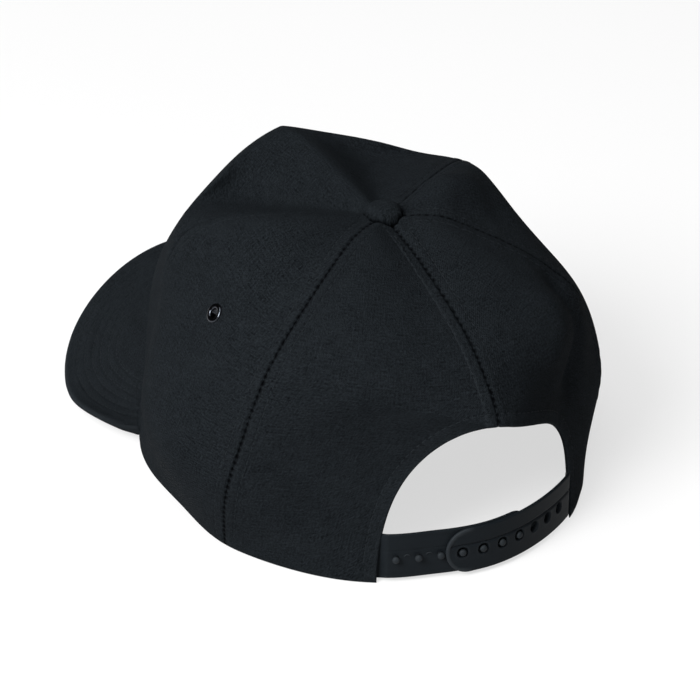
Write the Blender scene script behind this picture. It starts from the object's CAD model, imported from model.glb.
import math

import bpy
import numpy as np
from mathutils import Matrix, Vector


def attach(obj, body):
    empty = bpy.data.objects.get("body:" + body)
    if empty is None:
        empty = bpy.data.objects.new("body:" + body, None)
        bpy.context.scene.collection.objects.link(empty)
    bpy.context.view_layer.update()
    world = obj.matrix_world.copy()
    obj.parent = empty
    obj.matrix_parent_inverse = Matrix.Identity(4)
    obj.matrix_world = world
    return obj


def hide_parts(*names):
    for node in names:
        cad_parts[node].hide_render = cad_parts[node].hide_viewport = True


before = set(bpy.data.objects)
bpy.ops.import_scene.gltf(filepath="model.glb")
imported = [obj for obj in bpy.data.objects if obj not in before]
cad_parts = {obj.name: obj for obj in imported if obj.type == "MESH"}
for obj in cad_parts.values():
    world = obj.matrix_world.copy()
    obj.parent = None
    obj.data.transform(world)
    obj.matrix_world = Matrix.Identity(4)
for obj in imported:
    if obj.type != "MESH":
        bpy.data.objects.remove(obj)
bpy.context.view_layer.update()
print("frame loaded:", len(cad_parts), "CAD pieces")

# Shapes are worked out in millimetres and degrees round the cap's own middle. Directions run
# from 0 at the front to 180 at the middle back, positive toward the wearer's left, and "down"
# runs from 0 at the apex to 1 at the rim. The pieces are then moved to the frame's origin.
toFrame = np.array([0.0, 31.7525, 0.0])


# Small sums used by all shapes

def mix(a, b, share):
    # Straight way from a to b.
    return a + (b - a) * share


def ease(value):
    # Smooth 0 to 1 step: 3 v squared less 2 v cubed.
    v = np.clip(value, 0, 1)
    return v * v * (3 - 2 * v)


def unit(v):
    # A vector over its own length.
    return v / np.maximum(np.linalg.norm(v, axis=-1, keepdims=True), 1e-12)


def hump(value, width):
    # Bell curve of height 1 round 0.
    return np.exp(-(value / width) ** 2)


def halve(low, high, isLow, turns=32):
    # Where a test changes between two bounds, for whole arrays at once, by halving the way.
    for _ in range(turns):
        middle = (low + high) / 2
        test = isLow(middle)
        low = np.where(test, middle, low)
        high = np.where(test, high, middle)
    return (low + high) / 2


def cubicThrough(a, b, c, d, share):
    # Catmull-Rom cubic through four even values, between the middle two.
    slopeIn = (c - a) / 2
    slopeOut = (d - b) / 2
    bend = 2 * b - 2 * c + slopeIn + slopeOut
    turn = -3 * b + 3 * c - 2 * slopeIn - slopeOut
    return ((bend * share + turn) * share + slopeIn) * share + b


def tableAt(values, angle, mirror=1.0):
    # A table with a value every 30 degrees, read at any angle and mirrored past both ends.
    turn = np.abs(angle) / 30
    row = np.clip(np.floor(turn).astype(int), 0, len(values) - 2)
    wide = np.concatenate([[mirror * values[1]], values, [mirror * values[-2]]])
    return cubicThrough(wide[row], wide[row + 1], wide[row + 2], wide[row + 3], turn - row)


def lengthAlong(line):
    # Running length of a line of points.
    steps = np.linalg.norm(np.diff(line, axis=0), axis=1)
    return np.concatenate([[0], np.cumsum(steps)])


def nearest(points, line):
    # Distance from each point to a line, and the length along the line of the nearest place:
    # the closest of the line's points first, then the foot on the two stretches beside it.
    flat = points.reshape(-1, 3)
    best = np.full(len(flat), 1e12)
    spot = np.zeros(len(flat), int)
    for k, place in enumerate(line):
        gap = ((flat - place) ** 2).sum(1)
        closer = gap < best
        best[closer] = gap[closer]
        spot[closer] = k
    along = lengthAlong(line)
    far = np.full(len(flat), 1e12)
    length = np.zeros(len(flat))
    for step in (-1, 0):
        first = np.clip(spot + step, 0, len(line) - 2)
        start = line[first]
        way = line[first + 1] - start
        share = np.clip(((flat - start) * way).sum(1) / (way ** 2).sum(1), 0, 1)
        gap = np.linalg.norm(flat - start - way * share[:, None], axis=1)
        better = gap < far
        far[better] = gap[better]
        length[better] = mix(along[first], along[first + 1], share)[better]
    return far.reshape(points.shape[:-1]), length.reshape(points.shape[:-1])


# The crown's surface

crown = {
    "halfWidth": 80.2, "front": 98.0, "back": 98.9, "frontLift": 17.5, "liftHalfAngle": 75.0,
    "height": 112.5, "apexBack": 16.0, "wall": 1.6, "apexHole": 3.6,
    "prowRise": 4.0, "prowHalfWidth": 26.0, "prowFrom": 0.05, "prowTo": 0.62,
}
# Shares at every 30 degrees from the front to the back. A program fitted them to the outline
# and seams in the photograph, and they are rounded here.
rimAcross = np.array([0, 0.63, 0.95, 1.0, 0.95, 0.59, 0])
rimAlong = np.array([1.0, 0.83, 0.46, 0, -0.41, -0.82, -1.0])
crestOut = np.array([0.51, 0.59, 0.68, 0.57, 0.39, 0.36, 0.40])
crestUp = np.array([1.04, 0.92, 0.96, 1.03, 0.98, 0.98, 0.92])
shoulderOut = np.array([0.79, 0.71, 0.85, 0.89, 0.91, 0.90, 0.83])
shoulderUp = np.array([0.97, 0.95, 0.82, 0.75, 0.72, 0.75, 0.75])
bellyOut = np.array([0.97, 0.97, 0.91, 1.145, 1.10, 0.92, 1.04])
bellyUp = np.array([0.51, 0.53, 0.50, 0.38, 0.35, 0.45, 0.51])


def rimPoint(angle):
    # Outer edge of the rim: the plan outline from the two rim tables, lifted over the peak by
    # the square of how far the direction's cosine is past that of the lift's half angle.
    angle = np.asarray(angle, float)
    along = tableAt(rimAlong, angle)
    across = tableAt(rimAcross, angle, -1.0) * np.sign(angle)
    flat = math.cos(math.radians(crown["liftHalfAngle"]))
    rise = np.clip((np.cos(np.radians(angle)) - flat) / (1 - flat), 0, 1)
    length = np.where(along > 0, crown["front"], crown["back"])
    return np.stack(
        [across * crown["halfWidth"], -along * length, crown["frontLift"] * rise ** 2], -1)


def crownPoint(angle, down):
    # A section's curve through apex, crest, shoulder, belly and rim, "out" toward the rim in
    # plan and "up" from it, with the prow's fold raised along the middle of the front by the
    # square of the closeness to the middle and of a half sine of the way down.
    angle, down = np.broadcast_arrays(np.asarray(angle, float), np.asarray(down, float))
    rim = rimPoint(angle)
    outs = [tableAt(t, angle) for t in (crestOut, shoulderOut, bellyOut)]
    ups = [tableAt(t, angle) for t in (crestUp, shoulderUp, bellyUp)]
    zero = np.zeros_like(angle)
    outs = np.stack([-outs[0], zero, *outs, zero + 1, 2 - outs[2]])
    ups = np.stack([2 - ups[0], zero + 1, *ups, zero, -ups[2]])
    turn = np.clip(down, 0, 1) * 4
    step = np.minimum(np.floor(turn).astype(int), 3)
    near = [(step + k)[None] for k in range(4)]
    out, up = [cubicThrough(*[np.take_along_axis(rows, row, 0)[0] for row in near], turn - step)
               for rows in (outs, ups)]
    x = rim[..., 0] * out
    y = crown["apexBack"] + (rim[..., 1] - crown["apexBack"]) * out
    z = rim[..., 2] + (crown["height"] - rim[..., 2]) * up
    side = np.clip(1 - np.abs(x) / crown["prowHalfWidth"], 0, 1)
    stretch = (down - crown["prowFrom"]) / (crown["prowTo"] - crown["prowFrom"])
    fold = crown["prowRise"] * side ** 2 * np.sin(np.pi * np.clip(stretch, 0, 1)) ** 2
    return np.stack([x, y, z + np.where(np.abs(angle) < 90, fold, 0)], -1)


def crownSlopes(angle, down):
    # How the surface moves for a degree round and for a unit down, from small steps.
    low = np.maximum(down - 0.01, 0.005)
    high = np.minimum(down + 0.01, 1)
    sign = np.where(np.abs(angle) > 179, np.sign(angle), 0)
    ahead = np.where(sign > 0, 0, 1)
    behind = np.where(sign < 0, 0, 1)
    rounded = crownPoint(angle + ahead, down) - crownPoint(angle - behind, down)
    fall = crownPoint(angle, high) - crownPoint(angle, low)
    return rounded / (ahead + behind)[..., None], fall / (high - low)[..., None]


def crownNormal(angle, down):
    # Outward normal, the cross product of the two slopes, turned level close to the rim.
    rounded, fall = crownSlopes(angle, down)
    normal = unit(np.cross(fall, rounded))
    normal[..., 2] *= 1 - ease((down - 0.9) / 0.1)
    return unit(normal)


def moveOnCrown(angle, down, direction, length):
    # A place moved over the surface by a length, in three short steps. Each step is the
    # combination of the two slopes that comes closest to the wanted way in space.
    for _ in range(3):
        rounded, fall = crownSlopes(angle, down)
        want = direction * (np.asarray(length) / 3)[..., None]
        aa, ab, bb = [(p * q).sum(-1) for p, q in
                      ((rounded, rounded), (rounded, fall), (fall, fall))]
        wa, wb = (rounded * want).sum(-1), (fall * want).sum(-1)
        spread = aa * bb - ab * ab
        angle = angle + (wa * bb - wb * ab) / spread
        down = np.clip(down + (wb * aa - wa * ab) / spread, 0.001, 1)
    return angle, down


# Each seam's direction at the top and at the base, and its bow, in degrees.
seams = {
    "front": (72.0, 58.0, -1.0),
    "leftBack": (130.0, 115.0, 5.0),
    "rightBack": (135.0, 116.0, 2.0),
}


def seamAngle(name, side, down):
    # Direction of a seam on its way down: straight from top to base, with a bow between.
    if name == "middle":
        return side * 180.0 + 0 * down
    top, base, bow = seams[name]
    return side * (mix(top, base, down) + bow * 4 * down * (1 - down))


def downAtRadius(angle, radius, limit):
    # How far down the surface is a radius away from the apex in plan.
    def inside(down):
        p = crownPoint(angle, down)
        return np.hypot(p[..., 0], p[..., 1] - crown["apexBack"]) < radius
    return halve(np.zeros_like(angle), np.full_like(angle, limit), inside)


def downAtHeight(angle, height, start, turns=32):
    # How far down the surface has fallen to a height, looked for from a start to the rim.
    def above(down):
        return crownPoint(angle, down)[..., 2] > height
    return halve(np.full_like(angle, start), np.ones_like(angle), above, turns)


def topOf(angle):
    # How far down the panels begin, at the edge of the apex hole.
    return downAtRadius(angle, crown["apexHole"], 0.2)


# The arch at the back

arch = {"halfWidth": 44.2, "height": 61.5, "leftPower": 1.95, "rightPower": 3.2, "shift": -5.3,
        "lean": 17.0, "footShift": 2.8}


def archView(turn):
    # The arch seen from behind, a superellipse from the foot at the wearer's left at 0 to the
    # other foot at 180, with a power of its own on each side, leaning, and with its feet
    # brought back to one side.
    wide = np.cos(np.radians(turn))
    tall = np.sin(np.radians(turn))
    power = np.where(wide > 0, arch["leftPower"], arch["rightPower"])
    across = np.sign(wide) * np.abs(wide) ** (2 / power)
    x = arch["shift"] + arch["halfWidth"] * across + arch["footShift"] * (1 - tall) ** 2
    z = arch["height"] * np.abs(tall) ** (2 / power) + arch["lean"] * across * tall
    return x, z


def leftOfMiddle(turn):
    # Whether a place on the arch is at the wearer's left of the middle back.
    return archView(turn)[0] > 0


archMiddle = float(halve(np.array(0.0), np.array(180.0), leftOfMiddle, 40))


def archEdge(share, side):
    # The arch's edge on one side of the crown, from the middle back at 0 to the rim at 1: the
    # place on the crown with the view's x and z, found by turns for direction and for down.
    x, z = archView(mix(archMiddle, 0 if side > 0 else 180, share))
    down = np.full_like(x, 0.8)

    def outside(angle):
        return crownPoint(angle, down)[..., 0] > np.abs(x)

    for _ in range(10):
        angle = halve(np.full_like(x, 120.0), np.full_like(x, 180.0), outside)
        down = downAtHeight(angle, z, 0.45)
    return angle, down


# Soft relief of the sewn cloth

cloth = {
    "rollDepth": 0.26, "rollWidth": 0.36, "welt": 0.2, "stitchFrom": 4.5, "stitchDip": 0.24,
    "dipWidth": 0.5, "pucker": 0.13, "puckerReach": 8.0, "edgeRadius": 0.7,
    "hem": 5.2, "hemWelt": 0.3, "ripple": 0.42, "dashPitch": 2.8, "dashWidth": 0.7,
    "ventRadius": 3.0,
}

# Soft folds, each from one direction and down to another, with its depth (below 0 where it is
# a hollow) and its width.
folds = [
    {"start": (-88.0, 0.15), "end": (-108.0, 0.16), "depth": 2.6, "width": 7.5},
    {"start": (-86.0, 0.27), "end": (-108.0, 0.33), "depth": -1.5, "width": 7.5},
    {"start": (-136.0, 0.46), "end": (-144.0, 0.70), "depth": -3.0, "width": 7.5},
    {"start": (-149.0, 0.45), "end": (-157.0, 0.60), "depth": 1.3, "width": 7.0},
    {"start": (-173.0, 0.60), "end": (-160.0, 0.66), "depth": -1.8, "width": 7.0},
    {"start": (-172.0, 0.47), "end": (-160.0, 0.50), "depth": 0.8, "width": 7.0},
    {"start": (60.0, 0.93), "end": (80.0, 0.82), "depth": 1.0, "width": 12.0},
]


def ripple(points):
    # Slow unevenness of the cloth: products of sines of the place in space, and the folds, each
    # a bell curve of the distance from its line.
    x, y, z = points[..., 0], points[..., 1], points[..., 2]
    broad = np.sin(x / 15 + y / 27 + 1.1) * np.sin(z / 18 + x / 41 + 0.3)
    fine = np.sin(y / 9 - z / 14 + 0.4) * np.sin(x / 11 + z / 16 + 2.0)
    lift = cloth["ripple"] * (0.65 * broad + 0.35 * fine)
    for fold in folds:
        way = np.linspace(0, 1, 12)
        line = crownPoint(mix(fold["start"][0], fold["end"][0], way),
                          mix(fold["start"][1], fold["end"][1], way))
        lift = lift + fold["depth"] * hump(nearest(points, line)[0], fold["width"])
    return lift


def sewnRelief(distance, along, phase):
    # Beside a seam: the edge rolls down into it, the allowance under it lifts the cloth up to
    # the topstitching, the stitches press a groove, and puckers run off it at uneven spacing.
    beat = 0.5 + 0.5 * np.sin(2 * np.pi * along / 2.7 + phase)
    width = cloth["rollWidth"] + 0.2 * beat
    roll = -cloth["rollDepth"] * (0.6 + 0.55 * beat) * hump(distance, width)
    welt = cloth["welt"] * (ease(distance / 1.6) - ease((distance - 3.9) / 1.9))
    groove = -cloth["stitchDip"] * hump(distance - cloth["stitchFrom"], cloth["dipWidth"])
    waves = (0.6 * np.sin(2 * np.pi * along / 6.3 + phase)
             + 0.5 * np.sin(2 * np.pi * along / 10.9 + 2.3 * phase))
    pucker = cloth["pucker"] * waves * hump(distance - 4.2, cloth["puckerReach"] * 0.5)
    return roll + welt + groove + pucker


def hemRelief(distance, along):
    # Beside the arch's edge: a turned hem, thicker up to its row of stitches.
    welt = cloth["hemWelt"] * (1 - ease((distance - cloth["hem"] + 0.5) / 1.4))
    groove = -cloth["stitchDip"] * hump(distance - cloth["hem"], cloth["dipWidth"])
    waves = np.sin(2 * np.pi * along / 7.7 + 0.7) + 0.6 * np.sin(2 * np.pi * along / 4.9)
    return welt + groove + 0.09 * waves * hump(distance - 2.6, 3.4)


def edgeRoll(distance, radius):
    # How far a rounded edge has fallen away from the face at a distance from it.
    inside = np.clip(radius - distance, 0, radius)
    return radius - np.sqrt(np.maximum(radius ** 2 - inside ** 2, 0))


downs = np.linspace(0, 1, 420)


def seamLine(name, side, upTo=1.0):
    # Points along a seam, from the apex hole down.
    start = float(topOf(np.array([seamAngle(name, side, 0.03)]))[0])
    way = mix(start, upTo, downs)
    return crownPoint(seamAngle(name, side, way), way)


archTopDown = float(archEdge(np.array([0.0]), 1)[1][0])
edgeShares = np.linspace(0, 1, 300)
lines = {
    "leftFront": seamLine("front", 1), "rightFront": seamLine("front", -1),
    "leftBack": seamLine("leftBack", 1), "rightBack": seamLine("rightBack", -1),
    "middle": seamLine("middle", 1, archTopDown),
}
archLines = {}
for archSide in (1, -1):
    edgeAngle, edgeDown = archEdge(edgeShares, archSide)
    archLines[archSide] = crownPoint(archSide * edgeAngle, edgeDown)
archLine = np.concatenate([archLines[1][::-1], archLines[-1][1:]])
phases = {"leftFront": 0.4, "rightFront": 1.9, "leftBack": 2.8, "rightBack": 4.1, "middle": 5.2}

# How much paler the stitches beside a seam are, where that isn't plainTone, and how dark the
# seam itself is.
plainTone = -0.12
stitchTone = {("frontPanel", "rightFront"): -0.7, ("rightSidePanel", "rightFront"): -0.3,
              ("leftBackPanel", "middle"): 1.0}
seamDark = {"leftFront": 0.12, "rightFront": 1.3, "leftBack": 1.35, "rightBack": 1.3,
            "middle": 1.3}


def clothLift(points, sewn, hemmed):
    # How far the cloth stands off the plain crown surface.
    lift = ripple(points)
    for name in sewn:
        distance, along = nearest(points, lines[name])
        lift = lift + sewnRelief(distance, along, phases[name])
    if hemmed:
        lift = lift + hemRelief(*nearest(points, archLine))
    return lift


# Meshes

def gridQuads(rows, columns, wrap=False, wrapRows=False):
    # Four corners of every cell of a grid, numbered row by row. With wrap, the last column is
    # joined to the first, and with wrapRows the last row too.
    index = np.arange(rows * columns).reshape(rows, columns)
    if wrapRows:
        index = np.concatenate([index, index[:1]], 0)
    if wrap:
        index = np.concatenate([index, index[:, :1]], 1)
    return np.stack([index[:-1, :-1], index[1:, :-1], index[1:, 1:], index[:-1, 1:]], -1)


def tubeFaces(rings, around):
    # Faces of a tube of rings that is closed at both ends.
    first = np.arange(around)
    ends = [first.tolist(), (first[::-1] + (rings - 1) * around).tolist()]
    return gridQuads(rings, around, True).reshape(-1, 4).tolist() + ends


def turned(centre, normal, out, rise, around):
    # A profile turned round a normal: each ring goes its own way out and its own way up.
    turn = np.arange(around) * 2 * np.pi / around
    first = unit(np.cross(normal, [0.0, 0.0, 1.0]))
    second = np.cross(normal, first)
    ring = np.cos(turn)[:, None] * first + np.sin(turn)[:, None] * second
    return centre + out[:, None, None] * ring[None] + rise[:, None, None] * normal


def shell(outer, inner, keep=None):
    # A closed wall between two grids of points: both faces, and a side face wherever a kept
    # cell has no kept neighbour.
    rows, columns = outer.shape[:2]
    count = rows * columns
    cells = gridQuads(rows, columns)
    if keep is None:
        keep = np.ones(cells.shape[:2], bool)
    a, b, c, d = [cells[..., k] for k in range(4)]
    around = np.pad(keep, 1)
    sides = [
        (keep & ~around[:-2, 1:-1], a, d), (keep & ~around[2:, 1:-1], c, b),
        (keep & ~around[1:-1, :-2], b, a), (keep & ~around[1:-1, 2:], d, c),
    ]
    quads = [cells[keep], cells[keep][:, ::-1] + count]
    for missing, first, second in sides:
        p, q = first[missing], second[missing]
        quads.append(np.stack([p, q, q + count, p + count], -1))
    points = np.concatenate([outer.reshape(-1, 3), inner.reshape(-1, 3)])
    return points, np.concatenate(quads)


def addObject(name, data):
    # An object in the scene.
    item = bpy.data.objects.new(name, data)
    bpy.context.scene.collection.objects.link(item)
    return item


def bothFaces(place, shift):
    # Places on the cloth of the outer face and, moved aside by a shift, of the inner one.
    flat = place.reshape(-1, 2)
    return np.concatenate([flat, flat + shift])


def buildPiece(name, points, faces, material, uv=None, edge=None, replaces=()):
    # A mesh object from points in millimetres, faces and, for each point, its place on the
    # cloth in millimetres and how worn it is. Points that no face uses are left out.
    used = np.unique(np.concatenate(faces))
    renumber = np.zeros(len(points), int)
    renumber[used] = np.arange(len(used))
    faces = [renumber[f].tolist() for f in faces]
    mesh = bpy.data.meshes.new(name)
    mesh.from_pydata(((points[used] + toFrame) * 0.001).tolist(), [], faces)
    if uv is not None:
        corner = np.empty(len(mesh.loops), int)
        mesh.loops.foreach_get("vertex_index", corner)
        layer = mesh.uv_layers.new(name="cloth")
        layer.data.foreach_set("uv", uv[used][corner].astype(np.float32).ravel())
    if edge is not None:
        worn = mesh.attributes.new("worn", "FLOAT", "POINT")
        worn.data.foreach_set("value", edge[used].astype(np.float32))
    mesh.polygons.foreach_set("use_smooth", np.ones(len(mesh.polygons), bool))
    mesh.update()
    mesh.materials.append(material)
    piece = addObject(name, mesh)
    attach(piece, "root")
    if replaces:
        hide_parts(*replaces)
    return piece


# Shader nodes, written as sums

class Wire:
    # A socket that can be added, taken away, multiplied and divided.
    def __init__(self, book, socket):
        self.book = book
        self.socket = socket

    def __add__(self, other):
        return self.book.math("ADD", self, other)

    def __sub__(self, other):
        return self.book.math("SUBTRACT", self, other)

    def __rsub__(self, other):
        return self.book.math("SUBTRACT", other, self)

    def __mul__(self, other):
        return self.book.math("MULTIPLY", self, other)

    def __truediv__(self, other):
        return self.book.math("DIVIDE", self, other)

    __radd__ = __add__
    __rmul__ = __mul__


class NodeBook:
    # The nodes of one material.
    def __init__(self, name):
        self.material = bpy.data.materials.new(name)
        self.material.use_nodes = True
        self.tree = self.material.node_tree
        self.tree.nodes.clear()

    def put(self, kind, settings=None, output=0, **values):
        node = self.tree.nodes.new(kind)
        for key, value in (settings or {}).items():
            if key == "stops":
                ramp = node.color_ramp.elements
                while len(ramp) < len(value):
                    ramp.new(0.5)
                for stop, (place, colour) in zip(ramp, value):
                    stop.position = place
                    stop.color = colour
            else:
                setattr(node, key, value)
        for key, value in values.items():
            socket = node.inputs[int(key[1:])] if key[1:].isdigit() else node.inputs[key]
            if isinstance(value, Wire):
                self.tree.links.new(value.socket, socket)
            else:
                socket.default_value = value
        return Wire(self, node.outputs[output]) if len(node.outputs) else node

    def math(self, operation, *values):
        named = {f"n{k}": value for k, value in enumerate(values)}
        return self.put("ShaderNodeMath", {"operation": operation}, **named)

    def mixColour(self, share, first, second):
        return self.put("ShaderNodeMix", {"data_type": "RGBA"}, 2, n0=share, n6=first, n7=second)

    def between(self, value, high):
        return self.math("MINIMUM", self.math("MAXIMUM", value, 0.0), high)

    def clothPlace(self):
        place = self.put("ShaderNodeUVMap", {"uv_map": "cloth"})
        u = self.put("ShaderNodeSeparateXYZ", None, 0, Vector=place)
        return place, u, Wire(self, u.socket.node.outputs[1])

    def worn(self):
        return self.put("ShaderNodeAttribute", {"attribute_name": "worn"}, 2)

    def scaled(self, vector, sizes):
        return self.put("ShaderNodeVectorMath", {"operation": "MULTIPLY"}, n0=vector, n1=sizes)

    def noise(self, vector, scale, detail=2.0, roughness=0.5):
        return self.put("ShaderNodeTexNoise", None, 0, Vector=vector, Scale=scale, Detail=detail,
                        Roughness=roughness)

    def ramp(self, value, *stops):
        shades = [(place, (shade, shade, shade, 1)) for place, shade in stops]
        return self.put("ShaderNodeValToRGB", {"stops": shades}, Fac=value)

    def finish(self, shader):
        self.put("ShaderNodeOutputMaterial", None, Surface=shader)
        return self.material


cottonLook = {
    "deep": (0.0009, 0.0012, 0.0015, 1), "pale": (0.0142, 0.0174, 0.0203, 1),
    "worn": (0.019, 0.0225, 0.026, 1), "shade": (0.0003, 0.0004, 0.0006, 1),
    "twill": 0.92, "yarn": 0.46, "roughness": 0.88, "sheen": 0.006, "bump": 0.00034,
}


def makeCotton(name, look):
    # Twill: slanting ribs from a sine of u plus v, crossed by finer yarns, broken up by noise
    # that is drawn out along the warp and the weft. Where "worn" is above 0 the cloth is paler,
    # and where it is below 0, as in a seam, it is darker.
    book = NodeBook(name)
    place, u, v = book.clothPlace()
    slub = book.noise(book.scaled(place, (0.16, 1.6, 1.0)), 1.0, 3.0, 0.6)
    thick = book.noise(book.scaled(place, (1.6, 0.16, 1.0)), 1.0, 3.0, 0.6)
    cloud = book.noise(book.scaled(place, (0.06, 0.06, 1.0)), 1.0, 3.0, 0.55)
    grain = book.noise(book.scaled(place, (1.2, 1.2, 1.0)), 1.0, 3.0, 0.7)
    ribs = book.math("SINE", (u + v + slub * 0.5) * (2 * math.pi / look["twill"]))
    warp = book.math("SINE", u * (2 * math.pi / look["yarn"]))
    weft = book.math("SINE", v * (2 * math.pi / look["yarn"]))
    weave = ribs * 0.14 + warp * weft * 0.12 + grain * 1.8 + slub * 0.8 + thick * 0.8
    tone = ribs * 0.05 + grain * 1.9 + slub * 0.7 + thick * 0.7 + cloud * 0.3 - 1.3
    colour = book.mixColour(book.between(tone, 1.0), look["deep"], look["pale"])
    worn = book.worn()
    colour = book.mixColour(book.between(worn * (grain * 1.3), 0.8), colour, look["worn"])
    colour = book.mixColour(book.between(0.0 - worn, 0.95), colour, look["shade"])
    normal = book.put("ShaderNodeBump", None, 0, Strength=1.0, Distance=look["bump"],
                      Height=weave)
    rough = grain * 0.14 + (look["roughness"] - 0.07)
    shader = book.put("ShaderNodeBsdfPrincipled", None, 0, **{
        "Base Color": colour, "Roughness": rough, "Normal": normal, "Sheen Weight": look["sheen"],
        "Sheen Roughness": 0.45, "Sheen Tint": (0.72, 0.84, 1.0, 1),
        "Specular IOR Level": 0.01,
    })
    return book.finish(shader)


def makeThread(name):
    # Twisted sewing thread: slanting lines across the stitch and a soft shine.
    book = NodeBook(name)
    place, u, v = book.clothPlace()
    twist = book.math("SINE", (u * 3.0 + v * 2.0) * (2 * math.pi))
    fuzz = book.noise(place, 2.5, 2.0)
    colour = book.mixColour(fuzz, (0.0025, 0.0031, 0.0037, 1), (0.0230, 0.0275, 0.0315, 1))
    normal = book.put("ShaderNodeBump", None, 0, Strength=0.6, Distance=0.00006,
                      Height=twist + fuzz)
    shader = book.put("ShaderNodeBsdfPrincipled", None, 0, **{
        "Base Color": colour, "Roughness": fuzz * 0.2 + 0.6, "Normal": normal,
        "Specular IOR Level": 0.02,
    })
    return book.finish(shader)


def makePlastic(name):
    # Moulded plastic: a fine mould grain, faint flow marks and small scuffs in the roughness,
    # and paler where "worn" is above 0, on the pegs and the raised edges.
    book = NodeBook(name)
    place = book.put("ShaderNodeTexCoord", None, 3)
    grain = book.noise(place, 2600.0, 2.0, 0.6)
    flow = book.noise(book.scaled(place, (1.0, 1.0, 6.0)), 60.0, 3.0, 0.5)
    scuff = book.noise(book.scaled(place, (1.0, 1.0, 9.0)), 420.0, 4.0, 0.7)
    mark = book.ramp(scuff, (0.56, 0.0), (0.74, 1.0))
    colour = book.mixColour(flow, (0.0044, 0.0060, 0.0076, 1), (0.0070, 0.0090, 0.0110, 1))
    colour = book.mixColour(mark * 0.35, colour, (0.013, 0.016, 0.019, 1))
    colour = book.mixColour(book.between(book.worn(), 0.9), colour, (0.060, 0.068, 0.075, 1))
    normal = book.put("ShaderNodeBump", None, 0, Strength=0.5, Distance=0.00005,
                      Height=grain + flow * 0.5)
    rough = flow * 0.12 + mark * 0.14 + 0.5
    shader = book.put("ShaderNodeBsdfPrincipled", None, 0, **{
        "Base Color": colour, "Roughness": rough, "Normal": normal, "Specular IOR Level": 0.05,
    })
    return book.finish(shader)


def makeMetal(name):
    # Dark plated metal: turning lines faint in the bump, cloudy polish in the roughness.
    book = NodeBook(name)
    place = book.put("ShaderNodeTexCoord", None, 3)
    cloud = book.noise(place, 900.0, 3.0, 0.6)
    fine = book.noise(book.scaled(place, (1.0, 1.0, 4.0)), 3000.0, 2.0, 0.5)
    colour = book.mixColour(cloud, (0.022, 0.025, 0.030, 1), (0.065, 0.072, 0.082, 1))
    normal = book.put("ShaderNodeBump", None, 0, Strength=0.25, Distance=0.00004, Height=fine)
    shader = book.put("ShaderNodeBsdfPrincipled", None, 0, **{
        "Base Color": colour, "Metallic": 1.0, "Roughness": cloud * 0.14 + 0.12,
        "Normal": normal,
    })
    return book.finish(shader)


cotton = makeCotton("blackCottonTwill", cottonLook)
thread = makeThread("blackThread")
plastic = makePlastic("strapPlastic")
metal = makeMetal("darkEyeletMetal")
print("materials made")


# Panels

panelGrid = {"columns": 121, "rows": 190}


def acrossShares(half, count):
    # Shares across a row from one seam to the other, closer together near both seams: from a
    # seam to the middle, a straight part and a squared part whose weight grows with the width.
    t = np.linspace(0, 2, count)
    near = np.minimum(t, 2 - t)
    straight = np.clip(26 / np.maximum(half, 1), 0, 1)[..., None]
    share = 0.5 * (straight * near + (1 - straight) * near ** 2)
    return np.where(t <= 1, share, 1 - share)


def downShares(count):
    # Shares down a panel, closer together near the rim.
    v = np.linspace(0, 1, count)
    left = 1 - v
    return 1 - (0.55 * left + 0.45 * left ** 2)


def clothPlace(points):
    # Place on the cloth in millimetres: length across from the middle column, and length down.
    rows, columns = points.shape[:2]
    across = np.linalg.norm(np.diff(points, axis=1), axis=-1)
    u = np.concatenate([np.zeros((rows, 1)), np.cumsum(across, 1)], 1)
    u -= u[:, columns // 2][:, None]
    fall = np.linalg.norm(np.diff(points, axis=0), axis=-1)
    v = np.concatenate([np.zeros((1, columns)), np.cumsum(fall, 0)], 0)
    return np.stack([u, v], -1)


def panelPiece(name, node, angle, down, sewn, hemmed, flat, hole=None):
    # Both faces of a panel: the crown's surface lifted by the cloth's relief, and the same a
    # wall's thickness inside, with rounded edges at the rim and at the arch.
    base = crownPoint(angle, down)
    normal = crownNormal(angle, down)
    lift = clothLift(base, sewn, hemmed)
    rimGap = np.linalg.norm(base - crownPoint(angle, np.ones_like(down)), axis=-1)
    edge = rimGap
    if hemmed:
        edge = np.minimum(edge, nearest(base, archLine)[0])
    roll = edgeRoll(edge, cloth["edgeRadius"])
    soft = ripple(base)
    fade = ease(rimGap / 3.0)
    outer = base + normal * (mix(soft * 0.4, lift, fade) - roll)[..., None]
    inner = base + normal * (soft * mix(0.4, 1, fade) - crown["wall"] + roll)[..., None]
    keep = None
    if hole is not None:
        spot = crownPoint(*hole)
        middle = (base[:-1, :-1] + base[1:, 1:]) / 2
        keep = np.linalg.norm(middle - spot, axis=-1) > cloth["ventRadius"]
    points, quads = shell(outer, inner, keep)
    place = clothPlace(base)
    uv = bothFaces(place, 400)
    worn = 0.35 * hump(edge, 0.9)
    for line in sewn:
        distance, along = nearest(base, lines[line])
        dash = ease(0.5 + 2.0 * np.sin(2 * np.pi * along / cloth["dashPitch"] + phases[line]))
        dark = seamDark[line] * (0.1 + 0.9 * dash) * hump(distance, cloth["dashWidth"])
        tone = stitchTone.get((name, line), plainTone)
        dark = dark - tone * dash * hump(distance - cloth["stitchFrom"], 0.5)
        worn = worn + 0.1 * hump(distance - 1.9, 0.8) - dark
    if hemmed:
        distance, along = nearest(base, archLine)
        dash = ease(0.5 + 1.6 * np.sin(2 * np.pi * along / cloth["dashPitch"]))
        worn = worn - 0.45 * dash * hump(distance - cloth["hem"], 0.4)
        worn = worn + 0.14 * (1 - ease((distance - cloth["hem"] + 0.4) / 0.8))
    worn = np.concatenate([worn.ravel(), worn.ravel() * 0.4])
    piece = buildPiece(name, points, quads, cotton, uv, worn, [node])


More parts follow.
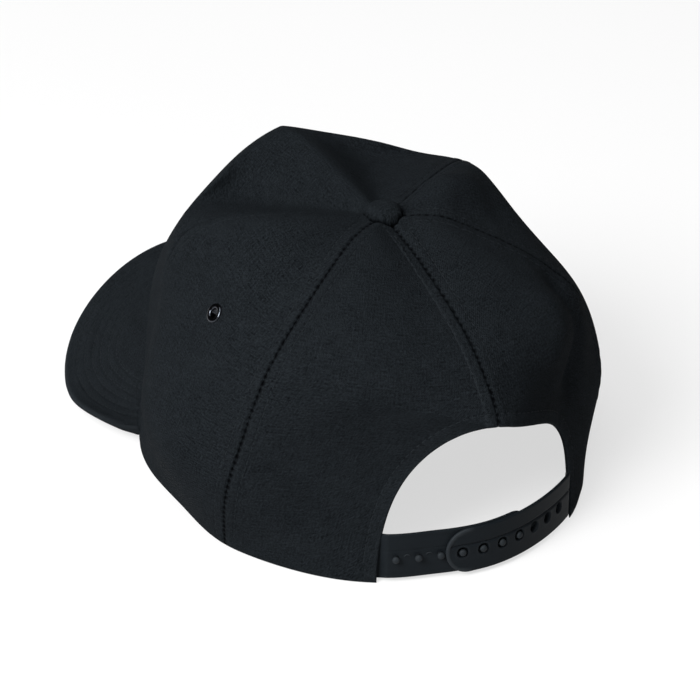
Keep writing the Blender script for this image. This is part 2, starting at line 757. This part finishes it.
def seamedPanel(fromSeam, toSeam):
    # Directions and downs of a panel between two seams, on a grid.
    down = downShares(panelGrid["rows"])[:, None]
    a = crownPoint(seamAngle(*fromSeam, down[:, 0]), down[:, 0])
    b = crownPoint(seamAngle(*toSeam, down[:, 0]), down[:, 0])
    shares = acrossShares(np.linalg.norm(a - b, axis=-1) / 2, panelGrid["columns"])
    guess = mix(seamAngle(*fromSeam, 0.0), seamAngle(*toSeam, 0.0), shares[0])
    down = mix(topOf(guess)[None], 1, down)
    return mix(seamAngle(*fromSeam, down), seamAngle(*toSeam, down), shares), down


def backPanel(side, seam):
    # A back panel's grid: its far side follows the middle seam and then the arch's edge, and
    # the inside is blended from the four sides.
    rows = panelGrid["rows"]
    v = downShares(rows)
    seamShare = 0.5
    topAngle = abs(float(seamAngle(seam, side, 0.0)))
    nearDown = mix(float(topOf(np.array([topAngle]))[0]), 1, v ** 1.15)
    nearAngle = np.abs(seamAngle(seam, side, nearDown))
    farAngle, farDown = archEdge(np.clip((v - seamShare) / (1 - seamShare), 0, 1), side)
    above = v <= seamShare
    middleTop = float(topOf(np.array([180.0]))[0])
    farAngle = np.where(above, 180.0, farAngle)
    farDown = np.where(above, mix(middleTop, archTopDown, v / seamShare), farDown)
    a = crownPoint(nearAngle, nearDown)
    b = crownPoint(farAngle, farDown)
    shares = acrossShares(np.linalg.norm(a - b, axis=-1) / 2, panelGrid["columns"])
    if side < 0:
        shares = 1 - shares

    def blended(near, far, top, foot):
        down = v[:, None]
        corners = mix(mix(near[0], far[0], shares), mix(near[-1], far[-1], shares), down)
        return mix(near[:, None], far[:, None], shares) + mix(top, foot, down) - corners

    topAngles = mix(nearAngle[0], 180.0, shares)
    angle = blended(nearAngle, farAngle, topAngles, mix(nearAngle[-1], farAngle[-1], shares))
    down = blended(nearDown, farDown, topOf(topAngles), np.ones_like(shares))
    return side * angle, np.minimum(down, 1)


eyeletSpot = {"left": (98.0, 0.475), "right": (-93.0, 0.475)}
panels = {
    "frontPanel": dict(node="front_panel", grid=seamedPanel(("front", -1), ("front", 1)),
                       sewn=("leftFront", "rightFront"), hemmed=False,
                       flat=dict(size=(0.192, 0.171), area=0.0235)),
    "leftSidePanel": dict(node="left_side_panel", grid=seamedPanel(("front", 1), ("leftBack", 1)),
                          sewn=("leftFront", "leftBack"), hemmed=False, hole=eyeletSpot["left"],
                          flat=dict(size=(0.118, 0.160), area=0.0113)),
    "rightSidePanel": dict(node="right_side_panel",
                           grid=seamedPanel(("rightBack", -1), ("front", -1)),
                           sewn=("rightFront", "rightBack"), hemmed=False,
                           hole=eyeletSpot["right"], flat=dict(size=(0.118, 0.160), area=0.0113)),
    "leftBackPanel": dict(node="left_back_panel", grid=backPanel(1, "leftBack"),
                          sewn=("leftBack", "middle"), hemmed=True,
                          flat=dict(size=(0.100, 0.160), area=0.0091)),
    "rightBackPanel": dict(node="right_back_panel", grid=backPanel(-1, "rightBack"),
                           sewn=("rightBack", "middle"), hemmed=True,
                           flat=dict(size=(0.100, 0.160), area=0.0091)),
}
for panelName, facts in panels.items():
    panelPiece(panelName, facts["node"], *facts["grid"], facts["sewn"], facts["hemmed"],
               facts["flat"], facts.get("hole"))
print("panels sewn")


# Stitches

stitch = {"length": 2.3, "gap": 0.6, "radius": 0.19, "arch": 0.12, "sink": 0.06}


def stitchRow(line, normals, size=stitch):
    # A row of stitches along a line on the cloth. Each is a short bead of thread with six
    # sides, thin at both ends, which arches over the cloth and dives into it.
    along = lengthAlong(line)
    pitch = size["length"] + size["gap"]
    count = max(int(along[-1] // pitch), 1)
    middle = (np.arange(count) + 0.5) * along[-1] / count

    def at(values, where):
        return np.stack([np.interp(where, along, values[:, k]) for k in range(3)], -1)

    centre = at(line, middle)
    tangent = unit(at(line, middle + 0.4) - at(line, middle - 0.4))
    up = unit(at(normals, middle))
    across = unit(np.cross(up, tangent))
    up = np.cross(tangent, across)
    share = np.array([-1, -0.86, -0.45, 0, 0.45, 0.86, 1])
    width = np.array([0.3, 0.75, 1, 1, 1, 0.75, 0.3])
    turn = np.arange(6) * np.pi / 3
    x = np.repeat(share[:, None] * size["length"] / 2, 6, 1)
    y = width[:, None] * np.cos(turn) * size["radius"]
    z = (width[:, None] * np.sin(turn) * size["radius"] * 0.85
         + size["arch"] * (1 - share[:, None] ** 2) - size["sink"] - 0.12 * share[:, None] ** 4)
    points = (centre[:, None, None] + x[..., None] * tangent[:, None, None]
              + y[..., None] * across[:, None, None] + z[..., None] * up[:, None, None])
    one = gridQuads(7, 6, True)[:, :, ::-1].reshape(-1, 4)
    steps = (np.arange(count) * 42)[:, None, None]
    quads = (one[None] + steps).reshape(-1, 4)
    caps = np.array([[5, 4, 3, 2, 1, 0], [36, 37, 38, 39, 40, 41]])
    caps = (caps[:, ::-1][None] + steps).reshape(-1, 6)
    uv = np.stack([x, np.repeat(turn[None], 7, 0) / np.pi], -1)
    uv = np.broadcast_to(uv, (count, 7, 6, 2)) + (np.arange(count) * 7.0)[:, None, None, None]
    return points.reshape(-1, 3), quads, caps, uv.reshape(-1, 2)


def stitchPiece(name, rows):
    # All the stitches of several rows as one piece.
    points, quads, caps, uvs, start = [], [], [], [], 0
    for line, normals in rows:
        p, q, c, w = stitchRow(line, normals)
        points.append(p)
        quads.append(q + start)
        caps.append(c + start)
        uvs.append(w)
        start += len(p)
    faces = np.concatenate(quads).tolist() + np.concatenate(caps).tolist()
    return buildPiece(name, np.concatenate(points), faces, thread,
                      np.concatenate(uvs))


def crownRow(angle, down, sewn, hemmed):
    # A row's line on the relief of its panel, with the outward normals.
    base = crownPoint(angle, down)
    normal = crownNormal(angle, down)
    lift = clothLift(base, sewn, hemmed)
    return base + normal * lift[:, None], normal


def besideSeam(name, side, toward, gap, start, end):
    # Places at a gap from a seam, toward the larger or the smaller direction.
    down = np.linspace(start, end, 160)
    angle = seamAngle(name, side, down) + 0 * down
    line = crownPoint(angle, down)
    tangent = unit(np.gradient(line, axis=0))
    across = unit(np.cross(crownNormal(angle, down), tangent)) * toward
    return moveOnCrown(angle, down, across, np.full(len(down), gap))


seamRows = []
for seamName, seamSide, panelOfSide in (
        ("front", 1, {1: "frontPanel", -1: "leftSidePanel"}),
        ("front", -1, {-1: "frontPanel", 1: "rightSidePanel"}),
        ("leftBack", 1, {1: "leftSidePanel", -1: "leftBackPanel"}),
        ("rightBack", -1, {-1: "rightSidePanel", 1: "rightBackPanel"}),
        ("middle", 1, {1: "leftBackPanel"}), ("middle", -1, {-1: "rightBackPanel"})):
    lowEnd = archTopDown - 0.004 if seamName == "middle" else 0.985
    for toward, panelName in panelOfSide.items():
        facts = panels[panelName]
        angleRow, downRow = besideSeam(seamName, seamSide, toward, cloth["stitchFrom"], 0.115,
                                       lowEnd)
        seamRows.append(crownRow(angleRow, downRow, facts["sewn"], facts["hemmed"]))
stitchPiece("seamTopstitching", seamRows)

hemRows = []
for archSide, panelName in ((1, "leftBackPanel"), (-1, "rightBackPanel")):
    shares = np.linspace(0.0, 0.93, 200)
    edgeAngle, edgeDown = archEdge(shares, archSide)
    edgeAngle = edgeAngle * archSide
    line = crownPoint(edgeAngle, edgeDown)
    tangent = unit(np.gradient(line, axis=0))
    outward = unit(np.cross(tangent, crownNormal(edgeAngle, edgeDown))) * archSide
    hemAngle, hemDown = moveOnCrown(edgeAngle, edgeDown, outward, np.full(200, cloth["hem"]))
    hemRows.append(crownRow(hemAngle, hemDown, panels[panelName]["sewn"], True))
stitchPiece("archHemStitching", hemRows)
print("rows stitched")


# Button

button = {"radius": 7.4, "rise": 4.9, "clearance": 0.35, "folds": 19, "foldDepth": 0.16,
          "bulge": 0.7, "foot": 0.25, "dent": 0.18}


def makeButton():
    # A covered dome: its foot follows the crown and is tucked in under it, its side bulges by a
    # power of the cosine, and shallow gathers run up from the foot and fade toward the top.
    around, rings = 120, 40
    angle = (np.arange(around) + 0.5) * 360 / around - 180
    foot = crownPoint(angle, downAtRadius(angle, button["radius"], 0.3))
    low = foot[:, 2]
    top = crown["height"] + button["clearance"] + button["rise"]
    t = np.linspace(-button["foot"], 1, rings)[:, None]
    turn = t * np.pi / 2
    reach = np.where(t < 0, 1 - 0.126 * (t / button["foot"]) ** 2,
                     np.abs(np.cos(turn)) ** button["bulge"])
    rise = np.where(t < 0, t * 1.1, np.sin(np.clip(turn, 0, 9)) ** 0.94)
    gather = np.sin(button["folds"] * np.radians(angle) + 0.8 * np.sin(3 * np.radians(angle)))
    reach = reach * (1 + button["foldDepth"] / button["radius"] * gather
                     * np.clip(1 - np.abs(t), 0, 1) ** 1.6)
    side = np.radians(angle)
    x = foot[:, 0] * reach
    y = crown["apexBack"] + (foot[:, 1] - crown["apexBack"]) * reach
    z = np.where(t < 0, low + rise * 2.2, mix(low, top, rise))
    up = np.clip(t, 0, 1)
    dent = button["dent"] * np.sin(2 * side + 0.6) * up * (1 - up)
    points = np.stack([x, y, z + dent], -1).reshape(-1, 3)
    points[-around:] = points[-around:] * 0.02 + points[-around:].mean(0) * 0.98
    faces = [face[::-1] for face in tubeFaces(rings, around)]
    uv = points[:, :2] * 1.15 + 60
    worn = 0.1 * hump(t - 0.5, 0.2) - 1.3 * hump(t + 0.08, 0.22) * np.ones(around)
    buildPiece("clothButton", points, faces, cotton, uv, worn.ravel(), ["button"])


makeButton()


# Eyelets

eyelet = {"bore": 3.6, "outer": 7.6, "metal": 0.5, "height": 0.7, "clearance": 0.3}


def makeEyelet(name, node, spot):
    # A closed profile turned round the hole: a rounded flange on the cloth, a stem through it
    # and a flat washer inside.
    bore, outer = eyelet["bore"] / 2, eyelet["outer"] / 2
    under = -crown["wall"] - eyelet["clearance"]
    lift = ripple(crownPoint(*spot)) + 0.05
    bow = np.linspace(0, np.pi, 19)
    middle, half = (bore + outer) / 2, (outer - bore) / 2
    flangeR = middle + half * np.cos(bow)
    flangeZ = lift + 0.1 + eyelet["height"] * np.sin(bow) ** 0.8
    stemR = np.array([bore, bore, bore + 0.12, outer * 0.88, outer * 0.92, outer * 0.9])
    stemZ = np.array([under / 2, under - 0.3, under - 0.5, under - 0.5, under - 0.35, under])
    backR = np.array([bore + eyelet["metal"], bore + eyelet["metal"], outer * 0.97])
    backZ = np.array([under, lift + 0.02, lift + 0.02])
    r = np.concatenate([flangeR, stemR, backR])
    z = np.concatenate([flangeZ, stemZ, backZ])
    around = 64
    normal = crownNormal(np.array(spot[0]), np.array(spot[1]))
    points = turned(crownPoint(*spot), normal, r, z, around)
    quads = gridQuads(len(r), around, True, True)
    buildPiece(name, points.reshape(-1, 3), quads.reshape(-1, 4), metal, None,
               None, [node])


for eyeletSide, eyeletPlace in eyeletSpot.items():
    makeEyelet(eyeletSide + "EyeletRing", eyeletSide + "_eyelet", eyeletPlace)
print("button and eyelets set")


# Peak

peak = {
    "halfAngle": 56.8, "length": 63.4, "endLength": 0.8, "fullness": 0.465, "flare": 0.51,
    "thickness": 3.0, "tipHeight": 25.5, "endLift": 3.9, "seat": 2.0, "restWidth": 4.0,
    "clearance": -1.4, "edgeRadius": 1.35, "rows": (6.0, 9.6, 13.2, 16.8, 20.4, 24.0),
    "rowDip": 0.3, "puff": 0.2,
}


def peakOutline(share):
    # Where the peak starts on the rim, which way it runs and how far it reaches.
    angle = share * peak["halfAngle"]
    rim = rimPoint(angle)
    turn = np.radians(peak["flare"] * angle)
    full = np.maximum(1 - share * share, 0) ** peak["fullness"]
    reach = peak["endLength"] + (peak["length"] - peak["endLength"]) * full
    out = np.stack([np.sin(turn), -np.cos(turn), 0 * turn], -1)
    return rim, out, reach


peakRim, peakOut, peakReach = peakOutline(np.linspace(-1, 1, 81))
peakHalf = (peakRim + peakOut * peakReach[:, None])[:, 0].max() - peak["restWidth"]


def peakPoint(share, outShare):
    # Underside of the peak: from a little inside the crown's edge to the outline, whose height
    # falls as the square of its distance from the middle, so that both sides come down to the
    # floor, and rises a little again at both ends.
    rim, out, reach = peakOutline(share)
    end = rim + out * reach[..., None]
    rise = np.clip(1 - (end[..., 0] / peakHalf) ** 2, 0, 1)
    endZ = peak["tipHeight"] * rise + peak["endLift"] * ease((np.abs(share) - 0.8) / 0.2)
    low = rim + out * mix(peak["clearance"], reach, outShare)[..., None]
    low[..., 2] = mix(rim[..., 2] + peak["seat"], endZ, outShare)
    return low


def makePeak():
    # The peak's two faces with a rounded edge, rows of quilting pressed in parallel to the
    # outline, and cloth that puffs a little between them.
    columns, rows = 240, 90
    share = np.sin(np.radians(90 * np.linspace(-1, 1, columns)))[None]
    way = np.linspace(0, 1, rows)[:, None]
    outShare = 1 - (0.5 * (1 - way) + 0.5 * (1 - way) ** 2)
    share, outShare = np.broadcast_arrays(share, outShare)
    low = peakPoint(share, outShare)
    high = low + [0, 0, peak["thickness"]]
    outline = peakPoint(np.sin(np.linspace(-np.pi / 2, np.pi / 2, 700)), np.ones(700))
    flat = low * [1, 1, 0]
    edge, along = nearest(low, outline)
    seat = np.linalg.norm(flat - rimPoint(share * peak["halfAngle"]) * [1, 1, 0], axis=-1)
    roll = edgeRoll(edge, peak["edgeRadius"]) + 0.5 * edgeRoll(seat, 1.2)
    lift = 0.18 * np.sin(low[..., 0] / 13 + 1) * np.sin(low[..., 1] / 11)
    for row in peak["rows"]:
        lift = lift - peak["rowDip"] * hump(edge - row, 0.65)
    inRows = ease((edge - peak["rows"][0] + 3) / 2) - ease((edge - peak["rows"][-1] - 2) / 2)
    lift = lift + peak["puff"] * inRows
    waves = np.sin(2 * np.pi * along / 7.1) + 0.7 * np.sin(2 * np.pi * along / 4.6 + 1)
    lift = lift + 0.05 * waves * inRows
    up = np.array([0, 0, 1.0])
    outer = high + up * (lift * ease(edge / 2.5) - roll)[..., None]
    inner = low + up * roll[..., None]
    points, quads = shell(outer[::-1], inner[::-1])
    place = clothPlace(low)[::-1]
    uv = bothFaces(place, 300)
    worn = (0.16 + 0.8 * hump(edge, 1.2))[::-1].ravel()
    buildPiece("peakCover", points, quads[:, ::-1], cotton, uv,
               np.concatenate([worn, worn]), ["peak"])
    rowLines = []
    for row in peak["rows"]:
        spots = []
        for k in range(columns):
            column = edge[::-1, k]
            if column.max() > row + 0.2:
                where = np.interp(row, column, np.arange(rows))
                floor = int(where)
                part = where - floor
                after = min(floor + 1, rows - 1)
                spots.append(mix(outer[::-1][floor, k], outer[::-1][after, k], part))
        line = np.array(spots)
        line[:, 2] += 0.03
        rowLines.append((line, np.repeat(up[None], len(line), 0)))
    stitchPiece("peakStitching", rowLines)


makePeak()
print("peak quilted")


# Straps

strap = {
    "height": 18.8, "low": 1.9, "bulge": 1.2, "thickness": 1.3, "gap": 0.3, "endMargin": 6.6,
    "anchor": 1.2, "pegAnchor": 5.0, "turnFrom": 3.0, "turnTo": -0.8,
    "tuckFall": 0.8, "taper": 0.2, "leanMost": 0.6,
    "pitch": 8.5, "pegRise": 8.8, "phase": 3.3, "firstPeg": -2, "lastPeg": 4,
    "firstHole": -5, "lastHole": 1, "pegRadius": 1.15, "headRadius": 1.4, "proud": 0.9,
    "capRise": 0.75, "holeRadius": 2.15, "edgeRadius": 0.5, "collar": 2.4,
    "grooveHeight": 13.7, "grooveDepth": 0.6, "borderRise": 0.18, "ringRise": 0.1,
    "borderTone": 0.9, "ringTone": 0.4, "pegTone": 0.14,
}
strapRadius = strap["height"] / 2
strapMiddle = strap["low"] + strapRadius
pegHeight = strap["low"] + strap["pegRise"]
strapAngles = np.linspace(180, 120, 121)
strapLengths = lengthAlong(rimPoint(strapAngles))


def coveredFrom(side):
    # Length along the strap line at which a strap goes under the panel on one side: at the
    # arch's foot, or where the arch's edge crosses the strap's top if that comes first.
    angle, down = archEdge(np.linspace(0.5, 1, 200), side)
    height = crownPoint(angle, down)[:, 2]
    first = angle[height < strap["low"] + strap["height"]].max()
    return float(strapLengths[np.argmax(strapAngles <= first)])


covered = {side: coveredFrom(side) for side in (1, -1)}


def pegPlace(index):
    # Length along the strap line of a peg or hole.
    return strap["phase"] + strap["pitch"] * index


pegs = pegPlace(np.arange(strap["firstPeg"], strap["lastPeg"] + 1))
holes = pegPlace(np.arange(strap["firstHole"], strap["lastHole"] + 1))
pegStrapEnd = pegs[0] - strap["endMargin"]
holeStrapEnd = holes[-1] + strap["endMargin"]


def strapOut(angle):
    # Level outward direction of the rim.
    along = rimPoint(np.minimum(angle + 1, 180)) - rimPoint(angle - 1)
    return unit(np.stack([along[..., 1], -along[..., 0], 0 * angle], -1))


def strapPoint(length, height, depth):
    # A place on a strap, by its length from the middle back, its height and its depth inside
    # the rim. In the arch it bulges a little. Just before the panels it starts to lean in with
    # them, and behind them it also sinks and narrows a little.
    angle = np.interp(np.abs(length), strapLengths, strapAngles)
    out = strapOut(angle)
    rim = rimPoint(angle)
    down = downAtHeight(angle, height, 0.6, 24)
    lean = np.maximum(((rim - crownPoint(angle, down)) * out).sum(-1), 0)
    toCover = np.where(length > 0, covered[1], covered[-1]) - np.abs(length)
    hidden = ease((strap["turnFrom"] - toCover) / (strap["turnFrom"] - strap["turnTo"]))
    inset = crown["wall"] + strap["gap"] + depth
    inset = inset + mix(-strap["bulge"], np.minimum(lean, strap["leanMost"]), hidden)
    point = rim - out * inset[..., None]
    side = np.where(length < 0, -1.0, 1.0)
    under = ease((0.6 - toCover) / 1.2)
    fallen = strap["tuckFall"] * hidden + strap["taper"] * under * (height - strap["low"])
    return np.stack([point[..., 0] * side, point[..., 1], height - fallen + 0 * side], -1)


def strapNormal(length):
    # Outward direction at a length.
    out = strapOut(np.interp(np.abs(length), strapLengths, strapAngles))
    return out * np.stack([np.where(length < 0, -1.0, 1.0), 1 + 0 * length, 1 + 0 * length], -1)


def strapGrid(anchor, freeEnd, places, pierced):
    # Lengths and heights of a strap's grid, finer at its pegs or holes. Its free end is round.
    # Round each hole the cells are pushed out from a square to the hole's circle, and those
    # inside it are left out.
    block, core = 3.4, 1.7
    sign = 1 if freeEnd > anchor else -1
    marks = sorted(places * sign)
    columns = [np.arange(anchor * sign, marks[0] - block, 0.8)]
    for k, mark in enumerate(marks):
        columns.append(np.linspace(mark - block, mark + block, 17))
        if k + 1 < len(marks):
            columns.append(np.linspace(mark + block, marks[k + 1] - block, 4)[1:-1])
    last = marks[-1] + block
    rest = freeEnd * sign - last
    columns.append(last + rest * np.sin(np.linspace(0, np.pi / 2, 16))[1:])
    length = np.concatenate(columns) * sign
    left = np.abs(freeEnd - length)
    half = np.where(left < strapRadius,
                    np.sqrt(np.maximum(strapRadius ** 2 - (strapRadius - left) ** 2, 0.0025)),
                    strapRadius)
    fit = math.sqrt(strapRadius ** 2 - (strapRadius - 3.2) ** 2)
    squeeze = np.minimum(half / fit, 1)
    bandLow = strapMiddle + (pegHeight - block - strapMiddle) * squeeze
    bandHigh = strapMiddle + (pegHeight + block - strapMiddle) * squeeze
    edgeSteps = np.array([0, 0.03, 0.07, 0.13, 0.24, 0.42, 0.62, 0.82])
    grooveSteps = np.array([0.05, 0.09, 0.13, 0.18, 0.26, 0.38, 0.52, 0.66, 0.78, 0.87, 0.93,
                            0.97, 1.0])
    lowRows = mix(strapMiddle - half[None], bandLow[None], edgeSteps[:, None])
    bandRows = mix(bandLow[None], bandHigh[None], np.linspace(0, 1, 17)[:, None])
    highRows = mix(bandHigh[None], strapMiddle + half[None], grooveSteps[:, None])
    height = np.concatenate([lowRows, bandRows, highRows])
    length = np.broadcast_to(length, height.shape).copy()
    keep = np.ones((height.shape[0] - 1, height.shape[1] - 1), bool)
    gap = np.full(height.shape, 99.0)
    for hole in places if pierced else []:
        du, dv = length - hole, height - pegHeight
        square = np.maximum(np.abs(du), np.abs(dv))
        inside = square < block + 0.001
        share = np.clip((square - core) / (block - core), 0, 1)
        reach = np.hypot(du, dv)
        full = reach * block / np.maximum(square, 1e-6)
        circled = np.where(square < core, strap["holeRadius"] * square / core,
                           mix(strap["holeRadius"], full, share))
        scale = np.where(inside, circled / np.maximum(reach, 1e-6), 1)
        length, height = hole + du * scale, pegHeight + dv * scale
        middle = (square[:-1, :-1] + square[1:, 1:] + square[:-1, 1:] + square[1:, :-1]) / 4
        keep &= middle > core
        gap = np.minimum(gap, np.hypot(length - hole, height - pegHeight)
                         - strap["holeRadius"])
    left = np.abs(freeEnd - length)
    middleGap = np.hypot(np.maximum(strapRadius - left, 0), height - strapMiddle)
    edge = strapRadius - middleGap
    return length, height, np.maximum(edge, 0), np.maximum(gap, 0), keep


def bead(centre, normal, profileR, profileZ, around=24):
    # A small turned piece standing on a strap: its profile goes from the axis at the foot out
    # and up to the axis at the top.
    points = turned(centre, normal, profileR, profileZ, around)
    return points.reshape(-1, 3), tubeFaces(len(profileR), around)


def tubeAlong(line, radius, around=8):
    # A round bead of plastic along a line, thin at its ends.
    tangent = unit(np.gradient(line, axis=0))
    up = np.array([0, 0, 1.0])
    across = unit(np.cross(tangent, up + 1e-4))
    other = np.cross(tangent, across)
    turn = np.arange(around) * 2 * np.pi / around
    thick = radius * np.sqrt(np.clip(1 - np.linspace(-1, 1, len(line)) ** 4, 0.04, 1))
    cosine, sine = np.cos(turn)[None, :, None], np.sin(turn)[None, :, None]
    ring = cosine * across[:, None] + sine * other[:, None]
    points = line[:, None] + ring * thick[:, None, None]
    return points.reshape(-1, 3), tubeFaces(len(line), around)


def addTo(points, faces, more):
    # Another closed part in the same mesh.
    morePoints, moreFaces = more
    shifted = [[k + len(points) for k in face] for face in moreFaces]
    return np.concatenate([points, morePoints]), faces + shifted


def pegStrapDepth(length):
    # At the cloth where it is anchored, and under the hole strap further on.
    way = (length - holeStrapEnd - 2) / (covered[1] - holeStrapEnd - 4)
    return (strap["thickness"] + strap["gap"]) * (1 - ease(way))


def makeHoleStrap():
    # The strap with holes: a raised border at its end, a groove above the holes and rounded
    # edges everywhere. Beyond the peg strap its holes are deepened inward by a collar.
    anchor = -covered[-1] - strap["anchor"]
    length, height, edge, gap, keep = strapGrid(anchor, holeStrapEnd, holes, True)
    roll = edgeRoll(edge, strap["edgeRadius"]) + edgeRoll(gap, 0.35)
    groove = strap["grooveDepth"] * hump(height - strap["grooveHeight"], 0.42) \
        * ease((edge - 1.3) / 0.5)
    border = (1 - ease((edge - 1.1) / 0.45)) * ease((length - holeStrapEnd + 12) / 4)
    border = strap["borderRise"] * border
    ringLip = strap["ringRise"] * hump(gap - 0.55, 0.3)
    depth = roll + groove - border - ringLip
    outer = strapPoint(length, height, depth)
    beyond = ease((pegStrapEnd - 0.2 - length) / 1.2)
    collar = strap["collar"] * beyond * (1 - ease((gap - 0.3) / 0.7))
    inner = strapPoint(length, height, strap["thickness"] + collar - roll * 0.8)
    points, quads = shell(outer, inner, keep)
    worn = (strap["borderTone"] * border + strap["ringTone"] * ringLip).ravel()
    buildPiece("holeStrap", points, quads, plastic, None,
               np.concatenate([worn, 0 * worn]), ["hole_strap"])


def makePegStrap():
    # The strap with pegs: each peg a stem with a rounded head, and a small moulded arc
    # between neighbours.
    anchor = covered[1] + strap["pegAnchor"]
    length, height, edge, gap, keep = strapGrid(anchor, pegStrapEnd, pegs, False)
    roll = edgeRoll(edge, strap["edgeRadius"])
    base = pegStrapDepth(length)
    groove = 0.18 * hump(height - strap["grooveHeight"], 0.3) * ease((edge - 1.3) / 0.5)
    outer = strapPoint(length, height, base + roll + groove)
    inner = strapPoint(length, height, base + strap["thickness"] - roll * 0.8)
    points, quads = shell(outer, inner, keep)
    faces = quads[:, ::-1].tolist()
    plainCount = len(points)
    reach = strap["thickness"] + strap["gap"] + strap["proud"]
    bow = np.linspace(0, np.pi / 2, 7)
    head, stem = strap["headRadius"], strap["pegRadius"]
    profileR = np.concatenate([[0.02, stem, stem], mix(stem, head, np.sin(bow[1:])),
                               head * np.cos(bow[1:-1]), [0.03]])
    capFoot, capRise = reach - strap["capRise"] - 0.75, strap["capRise"] + 0.2
    profileZ = np.concatenate([[-0.5, -0.5, capFoot], capFoot + 0.55 * (1 - np.cos(bow[1:])),
                               reach - capRise + capRise * np.sin(bow[1:-1]), [reach]])
    for spot in pegs[:, None]:
        centre = strapPoint(spot, np.array([pegHeight]), pegStrapDepth(spot))[0]
        points, faces = addTo(points, faces,
                              bead(centre, strapNormal(spot)[0], profileR, profileZ))
    for index in range(strap["lastHole"] + 1, strap["lastPeg"]):
        turn = np.linspace(0.12 * np.pi, 0.88 * np.pi, 13)
        around = pegPlace(index) + strap["pitch"] / 2 - 1.3 * np.cos(turn)
        arcLine = strapPoint(around, pegHeight - 0.3 + 1.5 * np.sin(turn),
                             pegStrapDepth(around) - 0.02)
        points, faces = addTo(points, faces, tubeAlong(arcLine, 0.22))
    worn = np.where(np.arange(len(points)) < plainCount, 0, strap["pegTone"])
    buildPiece("pegStrap", points, faces, plastic, None, worn, ["peg_strap"])


makeHoleStrap()
makePegStrap()
print("straps moulded")


# Floor, camera and light

studio = {
    "target": (0.0, 0.0222, 0.04302), "azimuth": 150.784, "elevation": 28.27,
    "distance": 1.1484, "lens": 149.55, "floorSize": 4.0,
    "keyPower": 128.0, "keySize": 1.5, "roofPower": 108.0, "roofSize": 4.0,
    "lampDistance": 3.0, "worldStrength": 0.025, "floorGlow": 0.66, "sensor": 36.0,
}


def makeFloorMaterial():
    # Plain pale light table: matt, faintly uneven, and lit through from below.
    book = NodeBook("palePaper")
    place = book.put("ShaderNodeTexCoord", None, 3)
    cloud = book.noise(place, 3.0, 2.0)
    colour = book.mixColour(cloud, (0.235, 0.235, 0.235, 1), (0.255, 0.255, 0.255, 1))
    shader = book.put("ShaderNodeBsdfPrincipled", None, 0, **{
        "Base Color": colour, "Roughness": 0.9, "Specular IOR Level": 0.1,
        "Emission Color": (1, 1, 1, 1), "Emission Strength": studio["floorGlow"]})
    return book.finish(shader)


def makeStudio():
    # A pale floor, the camera at the photograph's angle, a large soft light from its upper left,
    # a larger one from the roof and an even pale surrounding.
    half = studio["floorSize"] / 2
    mesh = bpy.data.meshes.new("floor")
    mesh.from_pydata([(-half, -half, 0), (half, -half, 0), (half, half, 0), (-half, half, 0)],
                     [], [(0, 1, 2, 3)])
    mesh.materials.append(makeFloorMaterial())
    addObject("floor", mesh)

    a, e = math.radians(studio["azimuth"]), math.radians(studio["elevation"])
    back = Vector((math.sin(a) * math.cos(e), -math.cos(a) * math.cos(e), math.sin(e)))
    right = Vector((math.cos(a), math.sin(a), 0))
    target = Vector(studio["target"])
    data = bpy.data.cameras.new("camera")
    data.lens = studio["lens"]
    data.sensor_width = studio["sensor"]
    data.clip_start, data.clip_end = 0.05, 50
    camera = addObject("camera", data)
    bpy.context.scene.camera = camera

    def aim(item, way, distance):
        way = way.normalized()
        item.location = target + way * distance
        item.rotation_euler = way.to_track_quat("Z", "Y").to_euler()

    def lamp(name, way, size, power):
        light = bpy.data.lights.new(name, "AREA")
        light.shape = "DISK"
        light.size = size
        light.energy = power
        aim(addObject(name, light), way, studio["lampDistance"])

    aim(camera, back, studio["distance"])

    level = Vector((back.x, back.y, 0)).normalized()
    up = Vector((0, 0, 1))
    lamp("keyLight", -right * 0.56 + up * 0.68 + level * 0.68, studio["keySize"],
         studio["keyPower"])
    lamp("roofLight", -right * 0.34 + up + level * 0.5, studio["roofSize"], studio["roofPower"])

    world = bpy.data.worlds.new("paleStudio")
    world.use_nodes = True
    background = world.node_tree.nodes["Background"]
    background.inputs["Color"].default_value = (1, 1, 1, 1)
    background.inputs["Strength"].default_value = studio["worldStrength"]
    bpy.context.scene.world = world
    bpy.context.scene.view_settings.view_transform = "Standard"


makeStudio()
print("studio set")
